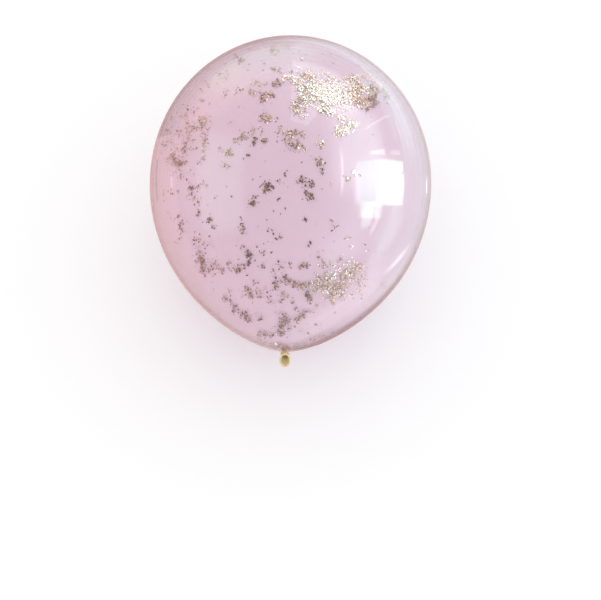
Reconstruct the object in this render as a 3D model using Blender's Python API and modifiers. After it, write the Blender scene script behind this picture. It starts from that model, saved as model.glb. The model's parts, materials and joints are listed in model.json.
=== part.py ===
"""A tied party balloon, blown up full and lying on its side, as one closed solid.

The balloon is first modelled standing on its neck, with its crown up +Z and its widest section at height 0.
A parent empty then lays it down: the crown points to +Y and a little up, and the body rests on the point that
is right under its centre of mass, where it carries a small flat spot. The world origin is under the middle of
the finished shape, at the floor.
"""

import math

import bmesh
import bpy
import numpy as np
from mathutils import Vector

# Blown-up body, in metres
BODY_DIAMETER = 0.280
CROWN_HEIGHT = 0.147  # from the widest section to the crown
TAPER_LENGTH = 0.1745  # from the widest section to the neck
TAPER_SWELL = 2.11  # a higher power keeps the taper wide for longer
TAPER_POINT = 1.42  # 1 ends the taper as a cone, a higher power rounds it off
REST_SPOT_RADIUS = 0.018

# Neck, knot and the loose tail beyond it
NECK_DIAMETER = 0.0056
NECK_LENGTH = 0.0016  # bare neck between the body and the knot
KNOT_DIAMETER = 0.0098
KNOT_STRAND_DIAMETER = 0.0022
TAIL_ROOT_DIAMETER = 0.0066
TAIL_LENGTH = 0.0085  # along its bend, from the middle of the knot to the lip
TAIL_BEND = math.radians(52)
TAIL_FLARE = 1.4  # 1 flares the tail straight, a higher power keeps it narrow for longer
TAIL_WALL = 0.0010
THROAT_SHARE = 0.3  # how far along the tail its open mouth reaches back, as a share of its length
MOUTH_OVERRUN = 1.15  # the cutter for the mouth runs past the lip by this share
LIP_WIDTH = 0.0110
LIP_LENGTH = 0.0146
LIP_BEAD_DIAMETER = 0.0018

# How finely the round shapes are faceted
BODY_STEPS = 72
CROWN_RINGS = 17
TAPER_RINGS = 22
KNOT_POINTS = 54
TAIL_POINTS = 9
LIP_STEPS = 30
LIP_BEAD_STEPS = 8
MERGE_DISTANCE = 0.00001

LATEX_COLOUR = (0.87, 0.66, 0.72, 1.0)
LATEX_ROUGHNESS = 0.12

BODY_RADIUS = BODY_DIAMETER / 2
NECK_RADIUS = NECK_DIAMETER / 2


def body_radius(height):
    """Radius of the body at heights above its widest section.

    The crown is half an ellipse. Below the widest section the radius falls to the neck's as one minus a power
    of the share of the way down, all of that to a second power.
    """
    crown_share = np.clip(height / CROWN_HEIGHT, 0, 1)
    taper_share = np.clip(-height / TAPER_LENGTH, 0, 1)
    crown = BODY_RADIUS * np.sqrt(1 - crown_share**2)
    taper = (1 - taper_share**TAPER_SWELL) ** (1 / TAPER_POINT)
    return np.where(height > 0, crown, NECK_RADIUS + (BODY_RADIUS - NECK_RADIUS) * taper)


def lying_contact():
    """Height and radius of the ring that the body rests on, and the pitch of its axis when it does.

    The body rolls until its centre of mass is right over the contact, which is where the outward normal of the
    profile passes through that centre: height - centre + radius * slope = 0.
    """
    height = np.linspace(-TAPER_LENGTH, CROWN_HEIGHT, 8001)
    radius = body_radius(height)
    centre = (radius**2 * height).sum() / (radius**2).sum()
    slope = np.gradient(radius, height)
    balance = height - centre + radius * slope
    side = np.abs(height) < min(CROWN_HEIGHT, TAPER_LENGTH) * 0.7
    height, radius, slope, balance = (row[side] for row in (height, radius, slope, balance))
    at = np.abs(balance).argmin()
    return height[at], radius[at], math.atan(slope[at])


def collection(name):
    made = bpy.data.collections.new(name)
    bpy.context.scene.collection.children.link(made)
    return made


def object_of(name, data, home, parent):
    """Links a new object with this data to a collection and hangs it on its parent."""
    made = bpy.data.objects.new(name, data)
    home.objects.link(made)
    made.parent = parent
    return made


def as_helper(helper):
    """Hides an object that only cuts or joins another."""
    helper.hide_render = True
    helper.display_type = "WIRE"
    return helper


def tube(name, points, radii, closed, home, parent):
    """A mesh tube along the points, with a radius at each, made from a bevelled curve."""
    curve = bpy.data.curves.new(name, "CURVE")
    curve.dimensions = "3D"
    curve.bevel_depth = 1.0
    curve.bevel_resolution = 2
    curve.use_fill_caps = not closed
    spline = curve.splines.new("POLY")
    spline.points.add(len(points) - 1)
    for spot, place, radius in zip(spline.points, points, radii):
        spot.co = (*place, 1.0)
        spot.radius = radius
    spline.use_cyclic_u = closed
    guide = object_of(name + "_guide", curve, home, parent)
    bpy.context.view_layer.update()
    graph = bpy.context.evaluated_depsgraph_get()
    mesh = bpy.data.meshes.new_from_object(guide.evaluated_get(graph))
    bpy.data.objects.remove(guide)
    shape = bmesh.new()
    shape.from_mesh(mesh)
    bmesh.ops.remove_doubles(shape, verts=shape.verts, dist=MERGE_DISTANCE)
    bmesh.ops.recalc_face_normals(shape, faces=shape.faces)
    shape.to_mesh(mesh)
    shape.free()
    return as_helper(object_of(name, mesh, home, parent))


def join(target, tool, operation):
    """Joins a helper to the target, or cuts it out, with a live Boolean."""
    boolean = target.modifiers.new(tool.name, "BOOLEAN")
    boolean.operation = operation
    boolean.solver = "EXACT"
    boolean.object = tool


def latex():
    """Smooth, glossy latex over pale pink."""
    material = bpy.data.materials.new("latex")
    material.use_nodes = True
    shader = material.node_tree.nodes["Principled BSDF"]
    shader.inputs["Base Color"].default_value = LATEX_COLOUR
    shader.inputs["Roughness"].default_value = LATEX_ROUGHNESS
    shader.inputs["Metallic"].default_value = 0.0
    return material


def body(home, parent):
    """The blown-up body and its bare neck: a profile from the crown down, turned about its axis."""
    crown = np.linspace(math.pi / 2, 0, CROWN_RINGS, endpoint=False)
    taper = np.linspace(0, math.pi / 2, TAPER_RINGS)
    heights = np.concatenate([CROWN_HEIGHT * np.sin(crown), -TAPER_LENGTH * np.sin(taper)])
    profile = [(radius, 0, height) for radius, height in zip(body_radius(heights), heights)]
    profile[0] = (0, 0, CROWN_HEIGHT)
    neck_end = -TAPER_LENGTH - NECK_LENGTH - KNOT_STRAND_DIAMETER - NECK_RADIUS / 2
    profile += [(NECK_RADIUS, 0, neck_end), (0, 0, neck_end)]
    mesh = bpy.data.meshes.new("outer_balloon")
    mesh.from_pydata(profile, [(i, i + 1) for i in range(len(profile) - 1)], [])
    made = object_of("outer_balloon", mesh, home, parent)
    screw = made.modifiers.new("turned", "SCREW")
    screw.steps = BODY_STEPS
    screw.render_steps = BODY_STEPS
    screw.use_merge_vertices = True
    screw.merge_threshold = MERGE_DISTANCE
    screw.use_smooth_shade = True
    mesh.materials.append(latex())
    return made


def knot(centre, home, parent):
    """The overhand knot: a trefoil strand drawn tight round the neck.

    The strand's distance from the axis swings between 1 and 3 units as it goes twice round, and it rises and
    falls three times by one unit, so that it crosses itself three times.
    """
    unit = (KNOT_DIAMETER - KNOT_STRAND_DIAMETER) / 6
    turn = np.linspace(0, 2 * math.pi, KNOT_POINTS, endpoint=False)
    x = np.sin(turn) + 2 * np.sin(2 * turn)
    y = np.cos(turn) - 2 * np.cos(2 * turn)
    z = -np.sin(3 * turn)
    points = np.column_stack([x, y, z]) * unit + np.array(centre)
    radii = np.full(KNOT_POINTS, KNOT_STRAND_DIAMETER / 2)
    return tube("knot_strand", points, radii, True, home, parent)


def tail_section(centre, turned, half_width, half_length):
    """An oval ring of points across the tail, where its middle line has turned by this angle.

    The middle line is an arc that leaves the knot along the neck and bends up by TAIL_BEND over its length.
    """
    bend_radius = TAIL_LENGTH / TAIL_BEND
    middle = centre + Vector((0, -bend_radius * (1 - math.cos(turned)), -bend_radius * math.sin(turned)))
    length_way = Vector((0, math.cos(turned), -math.sin(turned)))
    ring = []
    for step in range(LIP_STEPS):
        angle = 2 * math.pi * step / LIP_STEPS
        across = Vector((half_width * math.cos(angle), 0, 0))
        ring.append(middle + across + length_way * half_length * math.sin(angle))
    return ring


def loft(name, rings, home, parent):
    """A closed mesh through rings of equally many points, with a flat cap at each end."""
    shape = bmesh.new()
    rows = [[shape.verts.new(place) for place in ring] for ring in rings]
    for near, far in zip(rows, rows[1:]):
        for i in range(len(near)):
            shape.faces.new((near[i - 1], near[i], far[i], far[i - 1]))
    shape.faces.new(rows[0])
    shape.faces.new(rows[-1])
    bmesh.ops.recalc_face_normals(shape, faces=shape.faces)
    mesh = bpy.data.meshes.new(name)
    shape.to_mesh(mesh)
    shape.free()
    return as_helper(object_of(name, mesh, home, parent))


def tail(centre, home, parent):
    """The tail below the knot, flared to an oval, the open mouth in its end, and the rolled lip round that."""
    centre = Vector(centre)
    lip_half_width = (LIP_WIDTH - LIP_BEAD_DIAMETER) / 2
    lip_half_length = (LIP_LENGTH - LIP_BEAD_DIAMETER) / 2
    root_radius = TAIL_ROOT_DIAMETER / 2

    def sections(start, end, wall):
        rings = []
        for share in np.linspace(start, end, TAIL_POINTS):
            flare = share**TAIL_FLARE
            half_width = root_radius + (lip_half_width - root_radius) * flare - wall
            half_length = root_radius + (lip_half_length - root_radius) * flare - wall
            rings.append(tail_section(centre, share * TAIL_BEND, half_width, half_length))
        return rings

    funnel = loft("tail_funnel", sections(0, 1, 0), home, parent)
    mouth = loft("tail_mouth", sections(THROAT_SHARE, MOUTH_OVERRUN, TAIL_WALL), home, parent)

    bpy.ops.mesh.primitive_torus_add(
        major_segments=LIP_STEPS,
        minor_segments=LIP_BEAD_STEPS,
        major_radius=lip_half_width,
        minor_radius=LIP_BEAD_DIAMETER / 2,
    )
    lip = bpy.context.object
    lip.name = "rolled_lip"
    lip.users_collection[0].objects.unlink(lip)
    home.objects.link(lip)
    lip.parent = parent
    end_ring = tail_section(centre, TAIL_BEND, lip_half_width, lip_half_length)
    lip.location = sum(end_ring, Vector()) / len(end_ring)
    lip.rotation_euler = (-TAIL_BEND, 0, 0)
    lip.scale.y = lip_half_length / lip_half_width
    return funnel, mouth, as_helper(lip)


def floor_block(home):
    """A block whose top is the floor, which takes the flat spot off the underside."""
    bpy.ops.mesh.primitive_cube_add(size=BODY_DIAMETER, location=(0, 0, -BODY_DIAMETER / 2))
    block = bpy.context.object
    block.name = "floor_block"
    block.users_collection[0].objects.unlink(block)
    home.objects.link(block)
    return as_helper(block)


def reach_along_y(made):
    """The lowest and highest y of the object as it is finished, in the world."""
    bpy.context.view_layer.update()
    finished = made.evaluated_get(bpy.context.evaluated_depsgraph_get())
    mesh = finished.to_mesh()
    points = np.empty(len(mesh.vertices) * 3, np.float32)
    mesh.vertices.foreach_get("co", points)
    finished.to_mesh_clear()
    world = np.array(finished.matrix_world)
    along_y = points.reshape(-1, 3) @ world[1, :3] + world[1, 3]
    return along_y.min(), along_y.max()


for old in list(bpy.data.objects):
    bpy.data.objects.remove(old)

balloon_home = collection("confetti_balloon")
helper_home = collection("cutters_and_joined_shapes")

contact_height, contact_radius, pitch = lying_contact()
around = contact_radius / math.cos(pitch)  # how round the body is across its axis where it rests
spot_depth = around - math.sqrt(around**2 - REST_SPOT_RADIUS**2)

lying = bpy.data.objects.new("lying_frame", None)
balloon_home.objects.link(lying)
lying.rotation_euler = (pitch - math.pi / 2, 0, 0)
drop = contact_radius * math.cos(pitch) - contact_height * math.sin(pitch)
lying.location = (0, 0, drop - spot_depth)

outer_balloon = body(balloon_home, lying)
knot_centre = (0, 0, -TAPER_LENGTH - NECK_LENGTH - KNOT_STRAND_DIAMETER)
join(outer_balloon, knot(knot_centre, helper_home, lying), "UNION")
tail_funnel, tail_mouth, rolled_lip = tail(knot_centre, helper_home, lying)
join(outer_balloon, tail_funnel, "UNION")
join(outer_balloon, rolled_lip, "UNION")
join(outer_balloon, tail_mouth, "DIFFERENCE")
join(outer_balloon, floor_block(helper_home), "DIFFERENCE")

lying.location.y -= sum(reach_along_y(outer_balloon)) / 2
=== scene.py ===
import json
import math

import bpy
import numpy as np
from mathutils import Matrix, Vector


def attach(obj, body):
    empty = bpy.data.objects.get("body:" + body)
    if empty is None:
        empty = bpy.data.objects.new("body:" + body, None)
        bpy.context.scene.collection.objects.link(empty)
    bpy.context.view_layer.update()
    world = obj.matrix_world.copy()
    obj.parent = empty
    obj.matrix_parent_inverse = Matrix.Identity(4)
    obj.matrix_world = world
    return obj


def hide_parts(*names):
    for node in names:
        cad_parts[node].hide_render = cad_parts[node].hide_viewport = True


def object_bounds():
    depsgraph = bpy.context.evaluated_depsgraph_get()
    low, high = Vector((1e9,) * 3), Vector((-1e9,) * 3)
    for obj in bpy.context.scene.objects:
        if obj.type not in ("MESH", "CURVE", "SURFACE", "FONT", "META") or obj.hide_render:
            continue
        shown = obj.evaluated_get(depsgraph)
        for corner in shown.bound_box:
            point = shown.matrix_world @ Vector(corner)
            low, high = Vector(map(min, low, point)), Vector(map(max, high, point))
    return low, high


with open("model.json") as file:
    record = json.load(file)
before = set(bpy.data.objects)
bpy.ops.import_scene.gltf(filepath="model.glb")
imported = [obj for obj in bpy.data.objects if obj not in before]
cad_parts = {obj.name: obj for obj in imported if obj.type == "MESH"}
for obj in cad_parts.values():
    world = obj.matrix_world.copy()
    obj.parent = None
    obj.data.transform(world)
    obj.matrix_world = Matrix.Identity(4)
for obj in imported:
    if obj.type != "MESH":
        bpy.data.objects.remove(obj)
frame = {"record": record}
cad_low, cad_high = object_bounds()

# How the balloon lies
# The loose balloon lies on its side with its knot towards -Y and its crown raised a little. The tie mount
# gives the neck's place and the way the axis runs, and everything below is worked out along that axis.
mounts = {mount["name"]: mount for mount in frame["record"]["mounts"]}
neck_tie = np.array(mounts["neck_tie"]["pos_m"])
crown_way = -np.array(mounts["neck_tie"]["axis"])
crown_way /= np.linalg.norm(crown_way)
side_way = np.array([1.0, 0.0, 0.0])
top_way = np.cross(side_way, crown_way)

taper_length = 0.1745
crown_height = 0.147
bare_neck_length = 0.0016
body_radius = (cad_high[0] - cad_low[0]) / 2
neck_radius = 0.0028
widest = neck_tie + crown_way * (taper_length + bare_neck_length / 2)


def in_place(across, up, along):
    """World points from distances across the axis, up from it, and along it from the widest section."""
    along, up, across = (np.asarray(part)[..., None] for part in (along, up, across))
    return widest + across * side_way + up * top_way + along * crown_way


# The photographer's camera
# A long lens a good two metres off looks down on the lying balloon from its knot end, so that the picture
# shows it crown up, as the photograph does.
camera_elevation = math.radians(64.2)
camera_azimuth = math.radians(1.6)
camera_distance = 1.997
aim_right = 0.0098
aim_up = -0.1170

to_camera = Vector((
    math.sin(camera_azimuth) * math.cos(camera_elevation),
    -math.cos(camera_azimuth) * math.cos(camera_elevation),
    math.sin(camera_elevation),
))
camera_right = Vector((math.cos(camera_azimuth), math.sin(camera_azimuth), 0))
camera_up = to_camera.cross(camera_right)
camera_data = bpy.data.cameras.new("camera")
camera_data.lens = 120
camera_data.sensor_width = 36
camera = bpy.data.objects.new("camera", camera_data)
aim = Vector(widest) + camera_right * aim_right + camera_up * aim_up
camera.location = aim + to_camera * camera_distance
camera.rotation_euler = to_camera.to_track_quat("Z", "Y").to_euler()
bpy.context.collection.objects.link(camera)
bpy.context.scene.camera = camera

# Outer balloon, clear latex
# A blown-up skin of clear natural latex, turned about its axis: full round the crown, tapering to the neck,
# and pressed flat where it lies on the floor.
skin_thickness = 0.0009
skin_rings = 150
skin_segments = 192
taper_swell = 2.11
taper_point = 1.42


def radius_at(along, inset, crown_gap, neck_gap):
    """Radius of a blown-up skin at distances along the axis from its widest section, crown side positive.

    The crown's side is half an ellipse. On the neck's side the radius falls as one minus a power of the
    share of the way down, all of that to a second power. The three gaps move it in from the outer
    balloon's outside.
    """
    up_share = np.clip(along / (crown_height - crown_gap), 0, 1)
    down_share = np.clip(-along / (taper_length - neck_gap), 0, 1)
    wide = body_radius - inset
    taper = neck_radius + (wide - neck_radius) * (1 - down_share**taper_swell) ** (1 / taper_point)
    return np.where(along > 0, wide * np.sqrt(1 - up_share**2), taper)


def blown_profile(share, inset, crown_gap, neck_gap):
    """Distances along the axis and radii of a blown-up skin, for shares from 0, the crown, to 2, the neck.

    Equal steps of the share turn through equal angles as seen from the widest section, on either side of it.
    """
    crown = (crown_height - crown_gap) * np.cos(np.clip(share, 0, 1) * math.pi / 2)
    down = (taper_length - neck_gap) * np.sin(np.clip(share - 1, 0, 1) * math.pi / 2)
    along = np.where(share < 1, crown, -down)
    return along, radius_at(along, inset, crown_gap, neck_gap)


def turned_points(along, radius, segments):
    """Points of a profile turned about the balloon's axis: one row for each point of the profile."""
    turn = np.linspace(0, 2 * math.pi, segments, endpoint=False)
    across = radius[:, None] * np.sin(turn)
    up = radius[:, None] * np.cos(turn)
    return in_place(across, up, np.broadcast_to(along[:, None], across.shape))


def grid_faces(rows, columns):
    """Quads between neighbouring rows of points, each row closed round on itself."""
    at = np.arange(rows * columns).reshape(rows, columns)
    beside = np.roll(at, -1, axis=1)
    return np.stack([at[:-1], at[1:], beside[1:], beside[:-1]], axis=-1).reshape(-1, 4)


def mesh_piece(name, points, faces, material, smooth=True):
    """A new object at the origin, with its place in its mesh."""
    mesh = bpy.data.meshes.new(name)
    mesh.from_pydata(points.reshape(-1, 3), [], [list(face) for face in faces])
    mesh.materials.append(material)
    mesh.polygons.foreach_set("use_smooth", np.full(len(mesh.polygons), smooth))
    mesh.update()
    piece = bpy.data.objects.new(name, mesh)
    bpy.context.collection.objects.link(piece)
    return piece


def turned_skin(name, along, radius, segments, floor_gap, material):
    """A skin turned from a profile whose first point is its crown, on the axis, and whose last is open.

    What would come lower than the floor gap is pressed flat at that height.
    """
    points = turned_points(along[1:], radius[1:], segments).reshape(-1, 3)
    points = np.vstack([points, in_place(0.0, 0.0, along[0])])
    points[:, 2] = np.maximum(points[:, 2], floor_gap)
    rows = len(along) - 1
    crown = np.full(segments, len(points) - 1)
    first = np.arange(segments)
    cap = [list(face) for face in np.stack([crown, first, np.roll(first, -1)], axis=-1)]
    return mesh_piece(name, points, list(grid_faces(rows, segments)) + cap, material)


def shader_of(name):
    """A new material and its Principled shader."""
    material = bpy.data.materials.new(name)
    material.use_nodes = True
    return material, material.node_tree.nodes["Principled BSDF"]


def node(owner, kind, **values):
    """A new node in the tree of a material, world or light, with these values on its sockets."""
    made = owner.node_tree.nodes.new(kind)
    for socket, value in values.items():
        made.inputs[socket.replace("_", " ")].default_value = value
    return made


def waves(material, shader, scale, distance, strength):
    """Soft waves in the surface, from noise in the piece's own coordinates."""
    links = material.node_tree.links
    place = node(material, "ShaderNodeTexCoord")
    noise = node(material, "ShaderNodeTexNoise", Scale=scale, Detail=2.0)
    bump = node(material, "ShaderNodeBump", Distance=distance, Strength=strength)
    links.new(place.outputs["Object"], noise.inputs["Vector"])
    links.new(noise.outputs["Fac"], bump.inputs["Height"])
    links.new(bump.outputs["Normal"], shader.inputs["Normal"])
    return noise


def colour_mix(material, factor, first, second):
    """A colour between two, by a factor from 0 to 1."""
    mix = node(material, "ShaderNodeMix")
    mix.data_type = "RGBA"
    mix.inputs[6].default_value = first
    mix.inputs[7].default_value = second
    material.node_tree.links.new(factor, mix.inputs["Factor"])
    return mix.outputs[2]


clear_latex, clear_shader = shader_of("clear_latex")
clear_shader.inputs["Base Color"].default_value = (0.99, 0.975, 0.985, 1)
clear_shader.inputs["Roughness"].default_value = 0.012
clear_shader.inputs["IOR"].default_value = 1.5
clear_shader.inputs["Transmission Weight"].default_value = 0.97
clear_shader.inputs["Sheen Weight"].default_value = 0.95
clear_shader.inputs["Sheen Roughness"].default_value = 0.28
clear_shader.inputs["Sheen Tint"].default_value = (0.87, 0.58, 0.60, 1)
waves(clear_latex, clear_shader, 7.0, 0.002, 0.02)
tint = node(clear_latex, "ShaderNodeVolumeAbsorption", Color=(0.70, 0.50, 0.52, 1), Density=300.0)
clear_output = clear_latex.node_tree.nodes["Material Output"]
clear_latex.node_tree.links.new(tint.outputs["Volume"], clear_output.inputs["Volume"])

skin_share = np.linspace(0, 2, skin_rings)
skin_along, skin_radius = blown_profile(skin_share, 0, 0, 0)
outer_skin = turned_skin("outer_skin", skin_along, skin_radius, skin_segments, 0.0, clear_latex)
wall = outer_skin.modifiers.new("wall", "SOLIDIFY")
wall.thickness = skin_thickness
wall.offset = -1
# The clear skin casts no shadow on what is inside it, and doesn't show in its gloss.
outer_skin.visible_shadow = False
outer_skin.visible_diffuse = False
outer_skin.visible_glossy = False
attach(outer_skin, "root")
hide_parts("outer_balloon")

# Inner balloon, pastel-pink latex
# A second, opaque balloon blown up inside the first. It nearly fills it, with a gap of two to three
# millimetres that widens towards the neck, and its satin gloss gives the window's reflection a soft twin.
inner_side_gap = 0.0026
inner_crown_gap = 0.0028
inner_neck_gap = 0.0045
inner_floor_gap = 0.0012
inner_rings = 120
inner_segments = 160

pink_latex, pink_shader = shader_of("pink_latex")
pink_shader.inputs["Roughness"].default_value = 0.28
pink_shader.inputs["Coat Weight"].default_value = 0.0
cloud = waves(pink_latex, pink_shader, 14.0, 0.002, 0.08)
pink = colour_mix(pink_latex, cloud.outputs["Fac"], (0.742, 0.542, 0.668, 1), (0.806, 0.618, 0.745, 1))
pink_latex.node_tree.links.new(pink, pink_shader.inputs["Base Color"])

inner_share = np.linspace(0, 2, inner_rings)
inner_along, inner_radius = blown_profile(inner_share, inner_side_gap, inner_crown_gap, inner_neck_gap)
inner_along = np.append(inner_along, -taper_length)
inner_radius = np.append(inner_radius, neck_radius - skin_thickness)
inner_balloon = turned_skin(
    "inner_balloon", inner_along, inner_radius, inner_segments, inner_floor_gap, pink_latex
)
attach(inner_balloon, "root")

# Neck, knot and tail, thick unstretched latex
# The balloon's neck narrows into pleats and is tied in an overhand knot. The short tail beyond it bends up,
# and its open mouth ends in a rolled lip. Latex that isn't stretched is amber. The darker amber deep in the
# throat and in the grooves of the pleats, ridges and creases is painted shade.
knot_diameter = 0.0098
strand_diameter = 0.0022
tail_root_diameter = 0.0066
tail_length = 0.0085
tail_bend = math.radians(52)
tail_flare = 1.4
tail_wall = 0.0007
throat_share = 0.12
lip_width = 0.0110
lip_length = 0.0146
lip_bead_diameter = 0.0018
neck_patch_radius = 0.0044
pleats = 11


def colour_stops(ramp, *stops):
    """Sets a ramp's stops in order, each a place from 0 to 1 and the colour there, blended in between."""
    elements = ramp.color_ramp.elements
    for end, (place, colour) in ((elements[0], stops[0]), (elements[1], stops[-1])):
        end.position = place
        end.color = (*colour, 1)
    for place, colour in stops[1:-1]:
        elements.new(place).color = (*colour, 1)


amber_latex, amber_shader = shader_of("amber_latex")
amber_shader.inputs["Roughness"].default_value = 0.33
amber_shader.inputs["Subsurface Weight"].default_value = 0.45
amber_shader.inputs["Subsurface Radius"].default_value = (0.004, 0.002, 0.001)
amber_shader.inputs["Coat Weight"].default_value = 0.25
waves(amber_latex, amber_shader, 700.0, 0.0002, 0.5)
# The paleness attribute holds the amber's own tone together with painted shade in the throat and grooves.
colour_depth_and_shade = node(amber_latex, "ShaderNodeAttribute")
colour_depth_and_shade.attribute_name = "paleness_and_shade"
amber_ramp = node(amber_latex, "ShaderNodeValToRGB")
colour_stops(
    amber_ramp,
    (0, (0.26, 0.07, 0.02)),
    (0.2, (0.42, 0.19, 0.08)),
    (0.45, (0.56, 0.35, 0.25)),
    (0.75, (0.70, 0.57, 0.30)),
    (1, (0.78, 0.68, 0.42)),
)
amber_latex.node_tree.links.new(colour_depth_and_shade.outputs["Fac"], amber_ramp.inputs["Fac"])
amber_latex.node_tree.links.new(amber_ramp.outputs["Color"], amber_shader.inputs["Base Color"])


def amber_piece(name, points, paleness_and_shade, faces):
    """A piece of unstretched latex with each point's paleness, from 0 deep in the throat to 1 on the lip.

    The darker values deep in the throat and along grooves are painted shade.
    """
    piece = mesh_piece(name, points, faces, amber_latex)
    tone_and_painted_light = piece.data.attributes.new("paleness_and_shade", "FLOAT", "POINT")
    tone_and_painted_light.data.foreach_set("value", np.ascontiguousarray(paleness_and_shade, dtype=np.float32).ravel())
    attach(piece, "root")
    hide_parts("outer_balloon")


# The pleated neck spreads a few millimetres over the blown-up skin, just outside it, and runs on as a tube.
# Its pleats are two cosines of the angle round, the first bent by a sine, and deepen towards the tube.
neck_patch_rings = 20
neck_tube_rings = 12
neck_segments = 96
neck_clearance = 0.00008
patch_radius = np.linspace(neck_patch_radius, neck_radius, neck_patch_rings)
patch_share = (patch_radius - neck_radius) / (body_radius - neck_radius)
patch_along = -taper_length * (1 - patch_share**taper_point) ** (1 / taper_swell)
tube_along = -taper_length - np.linspace(0, bare_neck_length + strand_diameter, neck_tube_rings)[1:]
neck_along = np.concatenate([patch_along, tube_along])[:, None]
neck_middle_radius = np.concatenate([patch_radius, np.full(len(tube_along), neck_radius)])[:, None]
neck_turn = np.linspace(0, 2 * math.pi, neck_segments, endpoint=False)[None, :]
neck_nearness = (neck_patch_radius - neck_middle_radius) / (neck_patch_radius - neck_radius)
pleat_wave = np.cos(pleats * neck_turn + 1.2 * np.sin(3 * neck_turn)) + 0.5 * np.cos(23 * neck_turn + 1.0)
pleat_depth = 0.00022 * neck_nearness**2
neck_outside = neck_middle_radius + pleat_depth * (pleat_wave - 0.4)
neck_lift = neck_clearance + 0.0001 * neck_nearness * (1 - neck_nearness) * pleat_wave
neck_points = in_place(
    neck_outside * np.sin(neck_turn),
    neck_outside * np.cos(neck_turn),
    neck_along - neck_lift,
)
# Deeper amber towards the tube. The pleat term is painted shade: paler on the pleats, darker in their
# grooves.
neck_paleness_and_shade = 0.50 - 0.10 * neck_nearness**2 + 0.05 * pleat_wave * neck_nearness
amber_piece("pleated_neck", neck_points, neck_paleness_and_shade, grid_faces(*neck_outside.shape))

# The knot is a trefoil strand drawn tight round the neck. Its distance from the axis swings between 1 and 3
# units as it goes twice round, and it rises and falls three times by one unit. Fine ridges, cosines of the
# angle round the strand, run along it, and creases cross it where it turns.
strand_rings = 300
strand_segments = 28
strand_radius = strand_diameter / 2
unit = (knot_diameter - strand_diameter) / 6
knot_along = -taper_length - bare_neck_length - strand_diameter
knot_turn = np.linspace(0, 2 * math.pi, strand_rings, endpoint=False)
strand_line = in_place(
    unit * (np.sin(knot_turn) + 2 * np.sin(2 * knot_turn)),
    -unit * (np.cos(knot_turn) - 2 * np.cos(2 * knot_turn)),
    knot_along - unit * np.sin(3 * knot_turn),
)
strand_forward = np.roll(strand_line, -1, axis=0) - np.roll(strand_line, 1, axis=0)
strand_forward /= np.linalg.norm(strand_forward, axis=1, keepdims=True)
strand_side = np.cross(strand_forward, crown_way)
strand_side /= np.linalg.norm(strand_side, axis=1, keepdims=True)
strand_top = np.cross(strand_side, strand_forward)
round_strand = np.linspace(0, 2 * math.pi, strand_segments, endpoint=False)[None, :]
ridge = np.cos(7 * round_strand + 2 * np.sin(2 * knot_turn)[:, None]) + 0.6 * np.cos(12 * round_strand)
creases = np.cos(18 * knot_turn)[:, None] * np.cos(round_strand)
strand_swell = strand_radius * (1 + 0.045 * ridge + 0.05 * creases + 0.06 * np.sin(3 * knot_turn)[:, None])
strand_points = (
    strand_line[:, None, :]
    + strand_side[:, None, :] * (strand_swell * np.cos(round_strand))[..., None]
    + strand_top[:, None, :] * (strand_swell * np.sin(round_strand))[..., None]
)
strand_rows = np.concatenate([strand_points, strand_points[:1]])
# Paler on the ridges and darker in the creases: painted shade.
strand_paleness_and_shade = np.clip(0.56 + 0.10 * ridge + 0.10 * creases, 0, 1)
strand_tone_and_shade = np.concatenate([strand_paleness_and_shade, strand_paleness_and_shade[:1]])
amber_piece("knot_strand", strand_rows, strand_tone_and_shade, grid_faces(*strand_tone_and_shade.shape))

# The tail is a thin-walled oval funnel along an arc that leaves the knot along the neck and bends up. Pleats
# run down it from the knot and die out towards the lip, a bead rolled outwards round the mouth.
tail_outside_rings = 26
tail_inside_rings = 24
tail_segments = 120
bead_segments = 16
lip_half_width = (lip_width - lip_bead_diameter) / 2
lip_half_length = (lip_length - lip_bead_diameter) / 2
bend_radius = tail_length / tail_bend
tail_turn = np.linspace(0, 2 * math.pi, tail_segments, endpoint=False)[None, :]
tail_pleats = np.cos(9 * tail_turn + 0.8 * np.sin(2 * tail_turn)) + 0.5 * np.cos(16 * tail_turn + 0.5)


def tail_surface(share, inwards):
    """Ovals of points round the tail at shares of its length, on its outside or this far inwards of it.

    The oval grows from the round root to the lip by a power of the share. It is carried square to an arc
    that turns evenly upwards. The pleats are cosines of the angle round, and fade with the share.
    """
    share = np.asarray(share)[:, None]
    flare = share**tail_flare
    fold = 0.00030 * (1 - share) ** 1.2 * tail_pleats
    half_width = tail_root_diameter / 2 * (1 - flare) + lip_half_width * flare - inwards + fold
    half_length = tail_root_diameter / 2 * (1 - flare) + lip_half_length * flare - inwards + fold
    turned = share * tail_bend
    across = half_width * np.cos(tail_turn)
    lengthways = half_length * np.sin(tail_turn)
    up = bend_radius * (1 - np.cos(turned)) - lengthways * np.cos(turned)
    along = knot_along - bend_radius * np.sin(turned) - lengthways * np.sin(turned)
    return in_place(across, up, along)


outside_share = np.linspace(0, 1, tail_outside_rings)
throat = np.linspace(1, throat_share, tail_inside_rings)
tail_rows = np.concatenate([tail_surface(outside_share, 0), tail_surface(throat, tail_wall)])
# The outside grows paler towards the lip. Down the throat the colour darkens towards its deep end, which is
# painted shade, as is the darkening in the pleats' grooves.
outside_tone_and_shade = 0.55 + 0.35 * outside_share[:, None] + 0.05 * tail_pleats
throat_painted_shade = np.clip((throat[:, None] - throat_share) * 3.2 + 0.10 * tail_pleats, 0, 1)
tail_tone_and_shade = np.concatenate([outside_tone_and_shade, throat_painted_shade])
amber_piece("tail_funnel", tail_rows, tail_tone_and_shade, grid_faces(*tail_tone_and_shade.shape))

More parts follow.
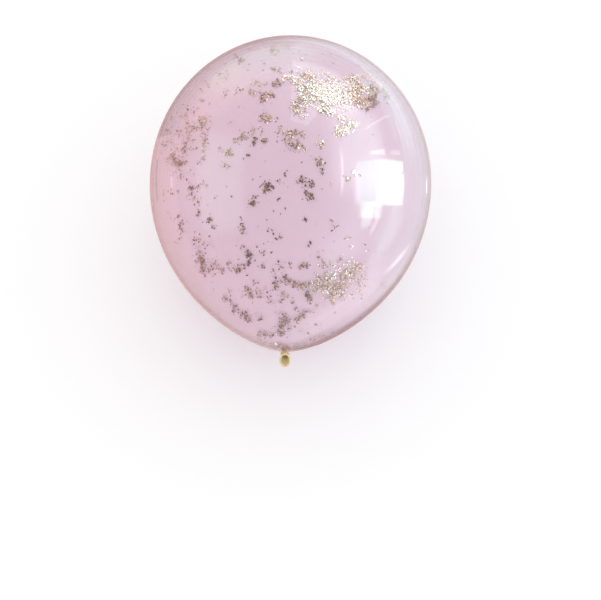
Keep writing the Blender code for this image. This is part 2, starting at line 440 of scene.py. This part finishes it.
bead_round = np.linspace(0, 2 * math.pi, bead_segments + 1)[:, None]
bead_radius = lip_bead_diameter / 2 * (1 + 0.06 * np.cos(5 * tail_turn) + 0.04 * np.sin(13 * tail_turn))
lip_across = lip_half_width * np.cos(tail_turn) + bead_radius * np.cos(bead_round) * np.cos(tail_turn)
lip_lengthways = lip_half_length * np.sin(tail_turn) + bead_radius * np.cos(bead_round) * np.sin(tail_turn)
lip_out = bead_radius * np.sin(bead_round)
mouth_up = bend_radius * (1 - math.cos(tail_bend))
mouth_along = knot_along - bend_radius * math.sin(tail_bend)
lip_points = in_place(
    lip_across,
    mouth_up - lip_lengthways * math.cos(tail_bend) + lip_out * math.sin(tail_bend),
    mouth_along - lip_lengthways * math.sin(tail_bend) - lip_out * math.cos(tail_bend),
)
lip_tone = np.broadcast_to(0.84 + 0.05 * np.cos(5 * tail_turn), lip_out.shape)
amber_piece("rolled_lip", lip_points, lip_tone, grid_faces(*lip_tone.shape))

# Foil confetti, rose gold
# Some thousands of small cut flakes of metal foil, one to three millimetres long, lie caught between the two
# skins, where static holds them in drifts. Those on the side that the photo shows lie where it shows them.
# Each drift's colour, from dark brown to nearly white, is painted shade and painted glints on the rose gold.
shaken = np.random.default_rng(20)
foil_thickness = 0.00006
foil_floor_gap = 0.0011
foil_nearest = skin_thickness + 0.0003
foil_deepest = 0.0023
flake_corners = 6
flake_points = 2 * flake_corners + 2

rose_gold_foil, foil_shader = shader_of("rose_gold_foil")
foil_shader.inputs["Metallic"].default_value = 1.0
foil_shader.inputs["Roughness"].default_value = 0.27
waves(rose_gold_foil, foil_shader, 900.0, 0.0003, 0.6)
# The tint attribute paints shade in dark brown and glints in near white onto the foil's rose gold.
foil_light_and_shade = node(rose_gold_foil, "ShaderNodeAttribute")
foil_light_and_shade.attribute_name = "tint"
foil_lit_and_shaded_ramp = node(rose_gold_foil, "ShaderNodeValToRGB")
colour_stops(
    foil_lit_and_shaded_ramp,
    (0, (0.20, 0.09, 0.08)),
    (0.35, (0.46, 0.24, 0.18)),
    (0.6, (0.78, 0.55, 0.40)),
    (0.85, (0.95, 0.83, 0.67)),
    (1, (0.97, 0.93, 0.84)),
)
rose_gold_foil.node_tree.links.new(foil_light_and_shade.outputs["Fac"], foil_lit_and_shaded_ramp.inputs["Fac"])
rose_gold_foil.node_tree.links.new(foil_lit_and_shaded_ramp.outputs["Color"], foil_shader.inputs["Base Color"])


def skin_place(around, along):
    """Places on the outer skin and its outward normals, at angles round from the top and distances along."""
    radius = radius_at(along, 0, 0, 0)
    step = 0.0001
    slope = (radius_at(along + step, 0, 0, 0) - radius_at(along - step, 0, 0, 0)) / (2 * step)
    outward = np.sin(around)[:, None] * side_way + np.cos(around)[:, None] * top_way
    normal = outward - slope[:, None] * crown_way
    normal /= np.linalg.norm(normal, axis=1, keepdims=True)
    return in_place(radius * np.sin(around), radius * np.cos(around), along), normal


def unit_rows(rows):
    """Rows of vectors, each divided by its own length."""
    return rows / np.linalg.norm(rows, axis=1, keepdims=True)


def foil_flakes(name, around, along, depth, length, tilt, tone_and_painted_light):
    """Foil flakes at these places, each this far under the outer skin, as closed plates of 24 triangles.

    A flake has six corners, 60 degrees apart and jittered, on an oval. It bends by the square of the
    distance along it, its middle stands a little proud, and it leans out of the skin's plane by a random
    tilt. Its tone runs from 0, painted shade in dark brown, to 1, a painted glint nearly white, with the
    foil's own rose gold in between.
    """
    count = len(around)
    on_skin, normal = skin_place(around, along)
    middle = on_skin - normal * depth[:, None]
    middle[:, 2] = np.maximum(middle[:, 2], foil_floor_gap)
    lean = shaken.normal(0, 1, (count, 3)) * tilt[:, None]
    face = unit_rows(normal + lean)
    forward = shaken.normal(0, 1, (count, 3))
    forward = unit_rows(forward - face * (forward * face).sum(axis=1, keepdims=True))
    beside = np.cross(face, forward)
    half_length = (length / 2)[:, None]
    half_width = half_length * shaken.uniform(0.34, 0.66, (count, 1))
    ring = np.arange(flake_corners)
    turn = ring * 2 * math.pi / flake_corners + shaken.uniform(-0.3, 0.3, (count, flake_corners))
    reach = shaken.uniform(0.78, 1.0, (count, flake_corners))
    x = half_length * reach * np.cos(turn)
    y = half_width * reach * np.sin(turn)
    z = shaken.normal(0, 0.24, (count, 1)) * x**2 / half_length
    corners = middle[:, None, :] + forward[:, None, :] * x[..., None] + beside[:, None, :] * y[..., None]
    corners += face[:, None, :] * z[..., None]
    thick = face[:, None, :] * foil_thickness / 2
    crown_of_flake = middle[:, None, :] + thick * shaken.uniform(1.0, 5.0, (count, 1, 1))
    foot_of_flake = middle[:, None, :] - thick
    points = np.concatenate([crown_of_flake, foot_of_flake, corners + thick, corners - thick], axis=1)
    upper = 2 + ring
    lower = upper + flake_corners
    next_upper = np.roll(upper, -1)
    next_lower = np.roll(lower, -1)
    top = np.stack([np.zeros_like(ring), upper, next_upper], axis=1)
    under = np.stack([np.ones_like(ring), next_lower, lower], axis=1)
    edges = np.stack([upper, lower, next_lower, next_upper], axis=1)
    first = np.arange(count)[:, None, None] * flake_points
    triangles = (np.concatenate([top, under]) + first).reshape(-1, 3)
    quads = (edges + first).reshape(-1, 4)
    piece = mesh_piece(name, points, triangles.tolist() + quads.tolist(), rose_gold_foil, smooth=False)
    # Each flake's tone, painted light and shade, is spread about its drift's value.
    flake_light_and_shade = np.clip(shaken.normal(tone_and_painted_light, 0.19, count), 0, 1)
    tint = piece.data.attributes.new("tint", "FLOAT", "POINT")
    tint.data.foreach_set("value", np.repeat(flake_light_and_shade, flake_points).astype(np.float32))
    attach(piece, "root")


def seen_at(right, down):
    """Angles round and distances along the skin where the camera sees it, at places in the photo's pixels.

    Each ray is cut where it first comes inside the outer skin: in coarse steps, then by halving the last
    one. The last result tells which of the places are on the skin.
    """
    frame_width = 601
    middle_right = 300.5
    middle_down = 300.0
    coarse_steps = 90
    halvings = 18
    per_pixel = camera_data.sensor_width / camera_data.lens / frame_width
    ray = (
        ((np.asarray(right) - middle_right) * per_pixel)[:, None] * np.array(camera_right)
        - ((np.asarray(down) - middle_down) * per_pixel)[:, None] * np.array(camera_up)
        - np.array(to_camera)
    )
    ray = unit_rows(ray)
    start = np.array(camera.location)

    def outside(distance):
        """How far the points at these distances along the rays lie outside the skin, across its axis."""
        place = start + ray * distance[:, None] - widest
        along = place @ crown_way
        return np.hypot(place @ side_way, place @ top_way) - radius_at(along, 0, 0, 0)

    steps = camera_distance + np.linspace(-0.22, 0.2, coarse_steps)
    clear = np.stack([outside(np.full(len(ray), step)) for step in steps])
    hits = (clear < 0).any(axis=0)
    first = (clear < 0).argmax(axis=0)
    far = steps[first]
    near = far - (steps[1] - steps[0])
    for halving in range(halvings):
        half = (near + far) / 2
        inside = outside(half) < 0
        far = np.where(inside, half, far)
        near = np.where(inside, near, half)
    place = start + ray * near[:, None] - widest
    around = np.arctan2(place @ side_way, place @ top_way)
    return around[hits], (place @ crown_way)[hits], hits


def drifted(x0, y0, x1, y1, width, flakes):
    """Places for the flakes of a drift from (x0, y0) to (x1, y1), gathered in small clumps across it.

    The clumps stand evenly at random along the line and normally off it, and the flakes normally round them.
    """
    flakes_in_clump = 6
    clumps = max(2, flakes // flakes_in_clump)
    share = shaken.uniform(0, 1, clumps)
    run = np.array([x1 - x0, y1 - y0])
    over = np.array([-run[1], run[0]]) / max(np.hypot(*run), 0.001)
    seeds = np.array([x0, y0]) + share[:, None] * run
    seeds += shaken.normal(0, width * 0.32, clumps)[:, None] * over + shaken.normal(0, 0.5, (clumps, 2))
    pick = shaken.integers(0, clumps, flakes)
    spread = min(0.7 + width * 0.12, 2.2)
    return seeds[pick] + shaken.normal(0, spread, (flakes, 2))


# Drifts on the side that the photo shows. Each row gives right and down at one end and at the other, in its
# pixels, then width, flakes and tone: painted light and shade, from 0, dark brown shade, to 1, a near-white
# glint.
crown_drifts = (
    (286, 75, 298, 84, 7, 110, 0.82), (304, 73, 317, 74, 6, 90, 0.55), (312, 76, 296, 105, 4, 170, 0.42),
    (298, 84, 346, 90, 11, 780, 0.88), (300, 97, 352, 98, 12, 900, 0.88),
    (318, 108, 334, 111, 7, 200, 0.84), (290, 102, 304, 116, 8, 150, 0.72),
    (346, 74, 362, 82, 8, 190, 0.58), (350, 88, 374, 90, 9, 360, 0.68), (352, 98, 372, 101, 8, 260, 0.48),
    (371, 96, 379, 103, 6, 150, 0.15), (362, 107, 369, 108, 3, 30, 0.1), (372, 84, 379, 92, 5, 90, 0.35),
    (336, 131, 356, 122, 9, 240, 0.76), (339, 116, 345, 120, 4, 40, 0.8), (386, 89, 392, 96, 5, 26, 0.35),
    (250, 94, 262, 92, 4, 50, 0.68), (261, 97, 273, 92, 6, 80, 0.55), (272, 84, 280, 82, 4, 50, 0.3),
    (270, 67, 281, 69, 3, 34, 0.35), (232, 57, 241, 58, 5, 34, 0.3), (240, 60, 247, 64, 5, 20, 0.5),
    (268, 50, 283, 48, 4, 30, 0.5), (298, 57, 304, 58, 3, 16, 0.9), (261, 112, 272, 122, 8, 84, 0.62),
)
body_drifts = (
    # middle
    (278, 131, 304, 134, 8, 110, 0.6), (284, 141, 305, 146, 8, 100, 0.62), (305, 149, 307, 150, 2, 8, 0.95),
    (250, 136, 269, 141, 4, 46, 0.45), (255, 140, 253, 148, 2, 18, 0.3), (240, 137, 245, 138, 4, 20, 0.8),
    (246, 154, 248, 155, 2, 8, 0.2), (317, 140, 324, 146, 5, 34, 0.7), (313, 159, 325, 161, 5, 34, 0.45),
    (320, 164, 322, 174, 3, 22, 0.2), (263, 186, 272, 192, 7, 80, 0.36), (250, 204, 258, 200, 6, 42, 0.45),
    (279, 198, 280, 200, 1, 5, 0.05), (297, 176, 306, 184, 6, 46, 0.4), (311, 178, 313, 187, 4, 34, 0.3),
    (305, 193, 313, 199, 6, 66, 0.38), (347, 180, 351, 177, 3, 16, 0.6), (353, 170, 358, 176, 4, 24, 0.95),
    (306, 215, 303, 229, 2, 16, 0.1), (275, 240, 282, 237, 2, 12, 0.1), (310, 242, 311, 248, 2, 10, 0.15),
    (316, 256, 320, 258, 2, 8, 0.4), (348, 238, 351, 250, 3, 14, 0.7), (241, 219, 243, 234, 3, 34, 0.5),
    (268, 170, 294, 176, 3, 8, 0.1),
    # left
    (183, 113, 190, 130, 6, 54, 0.66), (196, 118, 207, 126, 6, 60, 0.68), (203, 136, 204, 152, 5, 46, 0.66),
    (221, 144, 229, 154, 7, 50, 0.7), (220, 163, 222, 166, 2, 8, 1.0), (224, 164, 228, 167, 4, 14, 0.85),
    (161, 143, 164, 152, 3, 22, 0.35), (165, 128, 166, 133, 2, 12, 0.3), (168, 158, 180, 165, 8, 80, 0.52),
    (174, 146, 200, 170, 22, 60, 0.5), (188, 183, 194, 196, 3, 22, 0.3), (169, 194, 180, 191, 2, 14, 0.2),
    (195, 219, 203, 204, 2, 14, 0.25), (175, 212, 180, 229, 2, 28, 0.12), (208, 219, 213, 231, 4, 30, 0.15),
    (197, 258, 214, 276, 8, 84, 0.3), (195, 253, 200, 258, 3, 14, 0.25), (200, 268, 206, 280, 5, 30, 0.35),
    # low
    (247, 252, 251, 257, 4, 40, 0.15), (243, 247, 233, 250, 2, 6, 0.15), (243, 265, 250, 262, 4, 26, 0.2),
    (235, 272, 241, 268, 5, 34, 0.42), (222, 268, 225, 272, 3, 14, 0.4), (283, 265, 291, 268, 4, 8, 0.15),
    (301, 268, 307, 267, 4, 30, 0.4), (284, 280, 298, 287, 4, 80, 0.5), (298, 287, 306, 286, 4, 50, 0.6),
    (306, 285, 348, 276, 9, 190, 0.74), (333, 294, 350, 282, 12, 70, 0.6),
    (346, 276, 368, 266, 5, 90, 0.55), (325, 282, 362, 272, 18, 150, 0.76),
    (316, 287, 342, 289, 8, 120, 0.76), (341, 289, 329, 302, 8, 90, 0.62),
    (310, 284, 340, 296, 14, 120, 0.7), (307, 290, 309, 303, 4, 70, 0.22),
    (317, 306, 296, 322, 3, 80, 0.38), (279, 324, 291, 320, 6, 84, 0.42), (274, 330, 283, 327, 2, 16, 0.3),
    (269, 338, 292, 332, 4, 80, 0.32), (256, 335, 266, 337, 5, 56, 0.35), (221, 303, 235, 311, 6, 40, 0.12),
    (243, 314, 245, 324, 5, 50, 0.16), (252, 320, 260, 321, 1, 8, 0.12), (272, 283, 278, 287, 4, 16, 0.2),
    (247, 298, 264, 295, 4, 20, 0.45), (281, 293, 288, 298, 6, 26, 0.7), (352, 300, 367, 282, 9, 34, 0.5),
    (383, 290, 390, 277, 5, 26, 0.5), (240, 286, 298, 302, 22, 50, 0.45),
    # fine scatter
    (150, 150, 172, 120, 14, 60, 0.5), (160, 160, 206, 118, 30, 200, 0.62),
    (166, 200, 176, 150, 14, 50, 0.5), (182, 172, 200, 205, 14, 48, 0.4),
    (168, 215, 190, 250, 12, 30, 0.25), (194, 232, 214, 262, 16, 30, 0.25),
    (196, 262, 232, 272, 16, 60, 0.4), (240, 262, 300, 272, 18, 46, 0.25),
    (226, 296, 250, 330, 16, 60, 0.3), (250, 284, 300, 312, 26, 90, 0.4),
    (258, 330, 330, 322, 14, 60, 0.35), (336, 300, 372, 276, 22, 60, 0.45),
    (318, 262, 360, 256, 16, 40, 0.4), (226, 150, 262, 128, 18, 40, 0.5), (205, 100, 262, 74, 22, 60, 0.6),
    (180, 110, 230, 62, 12, 50, 0.4), (236, 48, 292, 44, 10, 40, 0.45), (352, 62, 392, 92, 12, 40, 0.4),
    (366, 74, 384, 86, 7, 60, 0.55), (296, 70, 350, 80, 8, 90, 0.75), (270, 200, 330, 236, 40, 20, 0.15),
    # along the edge beside the knot
    (259, 344, 284, 350, 2, 100, 0.5), (284, 350, 300, 348, 2, 70, 0.5), (300, 348, 335, 333, 2, 110, 0.55),
)
for drifts_name, drifts in (("confetti_crown_drifts", crown_drifts), ("confetti_body_drifts", body_drifts)):
    spots = np.concatenate([drifted(*ends, width, flakes) for *ends, width, flakes, tone_and_painted_light in drifts])
    drift_light_and_shade = np.concatenate([np.full(flakes, tone_and_painted_light) for *ends, width, flakes, tone_and_painted_light in drifts])
    seen_around, seen_along, seen = seen_at(spots[:, 0], spots[:, 1])
    seen_count = len(seen_around)
    foil_flakes(
        drifts_name,
        seen_around,
        seen_along,
        shaken.uniform(foil_nearest, foil_deepest, seen_count),
        np.clip(shaken.lognormal(math.log(0.0020), 0.30, seen_count), 0.0011, 0.0035),
        np.abs(shaken.normal(0.22, 0.15, seen_count)),
        drift_light_and_shade[seen],
    )

# Elsewhere they lie as single flakes all over, in drifts of their own on the sides that the photo doesn't
# show, and piled up under the neck.
lone_count = 1100
hidden_drift_count = 62
pile_count = 300
pile_deepest = 0.0038

lone_around = shaken.uniform(-math.pi, math.pi, lone_count)
lone_along = crown_height * 0.99 - (crown_height + taper_length) * 0.97 * shaken.beta(1.25, 1.3, lone_count)
foil_flakes(
    "confetti_singles",
    lone_around,
    lone_along,
    shaken.uniform(foil_nearest, foil_deepest, lone_count),
    np.clip(shaken.lognormal(math.log(0.0018), 0.33, lone_count), 0.0009, 0.0034),
    np.abs(shaken.normal(0.14, 0.12, lone_count)),
    0.4,
)

# A pixel of the photo is about a millimetre, so these drifts are strewn in millimetres and then scaled.
hidden_around = []
hidden_along = []
hidden_drifts = 0
while hidden_drifts < hidden_drift_count:
    around = shaken.uniform(-math.pi, math.pi)
    along = shaken.uniform(-0.135, 0.125)
    normal = skin_place(np.array([around]), np.array([along]))[1]
    if normal[0] @ np.array(to_camera) > 0.05:
        continue
    reach = shaken.uniform(0.004, 0.028)
    lean = shaken.uniform(0, math.pi)
    across_drift = reach * math.cos(lean)
    along_drift = reach * math.sin(lean)
    flakes = int(shaken.uniform(18, 90))
    strewn = drifted(0, 0, along_drift * 1000, across_drift * 1000, reach * 320, flakes) / 1000
    hidden_along.append(along + strewn[:, 0])
    hidden_around.append(around + strewn[:, 1] / max(float(radius_at(np.array(along), 0, 0, 0)), 0.03))
    hidden_drifts += 1
hidden_around = np.concatenate(hidden_around)
hidden_along = np.clip(np.concatenate(hidden_along), -0.17, crown_height * 0.99)
hidden_count = len(hidden_around)
foil_flakes(
    "confetti_hidden_sides",
    hidden_around,
    hidden_along,
    shaken.uniform(foil_nearest, foil_deepest, hidden_count),
    np.clip(shaken.lognormal(math.log(0.0021), 0.30, hidden_count), 0.0011, 0.0036),
    np.abs(shaken.normal(0.16, 0.12, hidden_count)),
    0.5,
)

foil_flakes(
    "confetti_pile",
    math.pi + shaken.normal(0, 0.6, pile_count),
    -taper_length + 0.001 + 0.016 * shaken.beta(1.2, 2.6, pile_count),
    shaken.uniform(foil_nearest, pile_deepest, pile_count),
    np.clip(shaken.lognormal(math.log(0.0018), 0.3, pile_count), 0.0009, 0.0030),
    np.abs(shaken.normal(0.3, 0.3, pile_count)),
    0.55,
)

# Studio
# A plain near-white floor in an even white room. Gloss sees a dimmer room than the matt surfaces do, and no
# floor, so that the window panes on the right and the pale cards round about show in the latex and the foil
# as they do in the photo.
floor_size = 12.0
bpy.ops.mesh.primitive_plane_add(size=floor_size)
floor = bpy.context.object
floor.name = "floor"
floor_paint, floor_shader = shader_of("floor_paint")
floor_shader.inputs["Base Color"].default_value = (0.95, 0.95, 0.95, 1)
floor_shader.inputs["Roughness"].default_value = 0.9
floor_shader.inputs["Specular IOR Level"].default_value = 0.0
floor.data.materials.append(floor_paint)
floor.visible_glossy = False

world = bpy.data.worlds.new("studio")
bpy.context.scene.world = world
world.use_nodes = True
world_nodes = world.node_tree.nodes
world_links = world.node_tree.links
direction = node(world, "ShaderNodeTexCoord")
apart = node(world, "ShaderNodeSeparateXYZ")
world_links.new(direction.outputs["Generated"], apart.inputs["Vector"])
left_to_right = node(world, "ShaderNodeMapRange", From_Min=-1.0)
world_links.new(apart.outputs["X"], left_to_right.inputs["Value"])
room_ramp = node(world, "ShaderNodeValToRGB")
colour_stops(room_ramp, (0, (0.90, 0.86, 0.84)), (1, (0.93, 0.99, 1.0)))
world_links.new(left_to_right.outputs["Result"], room_ramp.inputs["Fac"])
room = world_nodes["Background"]
room.inputs["Strength"].default_value = 1.19
world_links.new(room_ramp.outputs["Color"], room.inputs["Color"])

# What gloss sees runs from dark and warm underneath, through pale, to dark overhead, and is redder on the
# left.
upward = node(world, "ShaderNodeVectorMath")
upward.operation = "DOT_PRODUCT"
upward.inputs[1].default_value = (-0.10, -0.40, 0.91)
world_links.new(direction.outputs["Generated"], upward.inputs[0])
down_to_up = node(world, "ShaderNodeMapRange", From_Min=-1.0)
world_links.new(upward.outputs["Value"], down_to_up.inputs["Value"])
gloss_ramp = node(world, "ShaderNodeValToRGB")
colour_stops(
    gloss_ramp,
    (0, (0.40, 0.22, 0.22)),
    (0.05, (0.60, 0.42, 0.43)),
    (0.14, (0.92, 0.88, 0.89)),
    (0.5, (0.95, 0.95, 0.95)),
    (0.56, (0.90, 0.90, 0.90)),
    (0.775, (0.52, 0.48, 0.47)),
    (0.96, (0.14, 0.12, 0.12)),
)
world_links.new(down_to_up.outputs["Result"], gloss_ramp.inputs["Fac"])
side_ramp = node(world, "ShaderNodeValToRGB")
colour_stops(
    side_ramp,
    (0, (0.86, 0.50, 0.48)),
    (0.18, (0.70, 0.54, 0.52)),
    (0.5, (0.84, 0.87, 0.93)),
    (1, (0.80, 0.80, 0.88)),
)
world_links.new(left_to_right.outputs["Result"], side_ramp.inputs["Fac"])
dim_colour = node(world, "ShaderNodeMix")
dim_colour.data_type = "RGBA"
dim_colour.blend_type = "MULTIPLY"
dim_colour.inputs["Factor"].default_value = 1.0
world_links.new(gloss_ramp.outputs["Color"], dim_colour.inputs[6])
world_links.new(side_ramp.outputs["Color"], dim_colour.inputs[7])
dim_room = node(world, "ShaderNodeBackground")
world_links.new(dim_colour.outputs[2], dim_room.inputs["Color"])

# The slats of a blind beyond the crown show as fine arcs along its edge: a sine of the height, where Y is
# positive.
slats = node(world, "ShaderNodeMath")
slats.operation = "MULTIPLY"
slats.inputs[1].default_value = 118.0
slat_wave = node(world, "ShaderNodeMath")
slat_wave.operation = "SINE"
beyond = node(world, "ShaderNodeMapRange", From_Min=0.05, From_Max=0.45, To_Max=0.20)
slat_light = node(world, "ShaderNodeMath")
slat_light.operation = "MULTIPLY_ADD"
slat_light.inputs[2].default_value = 1.0
world_links.new(down_to_up.outputs["Result"], slats.inputs[0])
world_links.new(slats.outputs["Value"], slat_wave.inputs[0])
world_links.new(apart.outputs["Y"], beyond.inputs["Value"])
world_links.new(slat_wave.outputs["Value"], slat_light.inputs[0])
world_links.new(beyond.outputs["Result"], slat_light.inputs[1])
world_links.new(slat_light.outputs["Value"], dim_room.inputs["Strength"])

by_ray = node(world, "ShaderNodeMixShader")
ray_kind = node(world, "ShaderNodeLightPath")
world_links.new(ray_kind.outputs["Is Glossy Ray"], by_ray.inputs["Fac"])
world_links.new(room.outputs["Background"], by_ray.inputs[1])
world_links.new(dim_room.outputs["Background"], by_ray.inputs[2])
world_links.new(by_ray.outputs["Shader"], world_nodes["World Output"].inputs["Surface"])
bpy.context.scene.view_settings.view_transform = "Standard"


def card(
    name, azimuth, elevation, roll, distance, width, height, brightness, soft,
    colour=(1, 1, 1), turn=0, lean=0,
):
    """A flat light that faces the balloon's widest section and shows in gloss alone.

    Azimuth runs from +X towards +Y and elevation up from level, both in degrees. Roll turns the card in its
    own plane, and brightness is what a perfect mirror would show. Soft is the share of its width and height
    over which it fades in from each edge. Turn swings it about its height, and lean tips its top away.
    """
    angles = (azimuth, elevation, roll, turn, lean)
    azimuth, elevation, roll, turn, lean = (math.radians(angle) for angle in angles)
    away = Vector((
        math.cos(azimuth) * math.cos(elevation),
        math.sin(azimuth) * math.cos(elevation),
        math.sin(elevation),
    ))
    level = Vector((-math.sin(azimuth), math.cos(azimuth), 0))
    wide = level * math.cos(roll) + away.cross(level) * math.sin(roll)
    high = away.cross(wide)
    wide = wide * math.cos(turn) + away * math.sin(turn)
    high = high * math.cos(lean) + away * math.sin(lean)
    light = bpy.data.lights.new(name, "AREA")
    light.shape = "RECTANGLE"
    light.size = width
    light.size_y = height
    light.energy = brightness * width * height * math.pi
    light.color = colour
    light.use_nodes = True
    links = light.node_tree.links
    where = node(light, "ShaderNodeNewGeometry")
    sides = node(light, "ShaderNodeSeparateXYZ")
    both = node(light, "ShaderNodeMath")
    both.operation = "MULTIPLY"
    links.new(where.outputs["Parametric"], sides.inputs["Vector"])
    for side, axis in enumerate("XY"):
        off_middle = node(light, "ShaderNodeMath")
        off_middle.operation = "SUBTRACT"
        off_middle.inputs[1].default_value = 0.5
        off = node(light, "ShaderNodeMath")
        off.operation = "ABSOLUTE"
        fade = node(light, "ShaderNodeMapRange", From_Min=0.5, From_Max=0.5 - soft)
        fade.interpolation_type = "SMOOTHSTEP"
        links.new(sides.outputs[axis], off_middle.inputs[0])
        links.new(off_middle.outputs["Value"], off.inputs[0])
        links.new(off.outputs["Value"], fade.inputs["Value"])
        links.new(fade.outputs["Result"], both.inputs[side])
    links.new(both.outputs["Value"], light.node_tree.nodes["Emission"].inputs["Strength"])
    lamp = bpy.data.objects.new(name, light)
    lamp.rotation_euler = Matrix((wide, high, wide.cross(high))).transposed().to_euler()
    lamp.location = Vector(widest) + away * distance
    lamp.visible_camera = False
    lamp.visible_diffuse = False
    lamp.visible_transmission = False
    bpy.context.collection.objects.link(lamp)


# The window on the right, with the light about it
card("window_pane", -0.7, 10.5, -65, 0.478, 0.300, 0.200, 2.8, 0.06, (0.9, 1.0, 0.8), turn=22)
card("window_side", -4.3, 17.7, -64, 0.456, 0.430, 0.200, 2.6, 0.09, (0.33, 1.0, 0.80), turn=14)
card("window_glow", -4, 18, -64, 0.46, 0.43, 0.30, 1.4, 0.5, (0.78, 1.0, 0.97), turn=16)
card("window_leg", -25, 15, -42, 1.11, 0.236, 0.267, 4.0, 0.3, (0.6, 1.0, 0.85))
card("window_foot", -19.5, 15.5, -56, 1.11, 0.50, 0.22, 5.5, 0.25, (0.6, 1.0, 0.85))
card("window_strip", -22, 6, -76, 1.10, 0.100, 0.309, 2.5, 0.3)
card("window_soft_edge", -15, 34, -57, 1.09, 0.20, 0.66, 2.0, 0.45)

# Thin lamps above the window and the edge of the blind
card("top_light_left", 13, 23, -75, 1.10, 0.432, 0.055, 4.0, 0.15, turn=-52)
card("top_light_right", 18, 5, -72, 1.09, 0.242, 0.046, 1.8, 0.15, turn=-7)
card("thin_lamp", -13, 49, -66, 1.09, 0.07, 0.70, 3.6, 0.35)
card("blind_edge", 32, 17, -69, 1.05, 0.80, 0.036, 1.8, 0.3, turn=9)

# Pale walls all round, two short lamps and a low streak
card("left_wall", -166, 32, 62, 0.91, 0.80, 1.12, 1.0, 0.18, (0.62, 1.0, 0.9))
card("left_lamp", 175, -7, 71, 0.54, 0.035, 0.142, 1.3, 0.3)
card("right_lamp", 15, -24, -55, 0.27, 0.021, 0.042, 2.0, 0.4, turn=-61)
card("right_wall", 12, 38, 0, 1.25, 1.8, 1.4, 2.5, 0.35, (0.78, 1.0, 1.0))
card("right_floor", 15, -7.9, 0, 0.98, 1.5, 1.9, 0.7, 0.12, (0.70, 0.98, 1.0), lean=82.1)
card("low_streak", -27, -18, 13, 0.25, 0.129, 0.036, 2.0, 0.45, turn=-55)
card("front_wall", -48, 12, 0, 1.20, 1.0, 0.95, 1.1, 0.4, (0.75, 0.95, 1.0))
card("far_wall", 73, 0, 0, 1.20, 0.80, 0.70, 0.3, 0.04, (0.85, 1.0, 1.0))
card("far_wall_top", 73, 57.9, 0, 2.256, 0.80, 3.2, 1.7, 0.04, (0.85, 1.0, 1.0), lean=57.9)
card("crown_wall", 52, 38, 0, 1.10, 0.62, 0.50, 2.1, 0.25)
card("crown_left_wall", 108, 12, 0, 1.30, 1.60, 1.40, 0.75, 0.3, (0.50, 1.0, 0.75))
card("right_low_wall", 42, -6, 0, 1.20, 1.10, 0.85, 0.8, 0.3, (0.55, 1.0, 0.90))
card("window_below", -16, -9, 0, 1.10, 0.80, 0.55, 1.3, 0.35, (0.50, 1.0, 0.85))
card("front_floor", -48, -32, 0, 0.90, 0.95, 0.62, 0.9, 0.3, (1.0, 0.95, 0.95))
card("right_under_wall", -20, -54, 0, 0.90, 0.80, 0.34, 0.6, 0.4, (1.0, 0.92, 0.95))
card("warm_wall", 136, 16, 166, 0.80, 0.80, 0.74, 0.6, 0.4, (1.0, 0.62, 0.45))
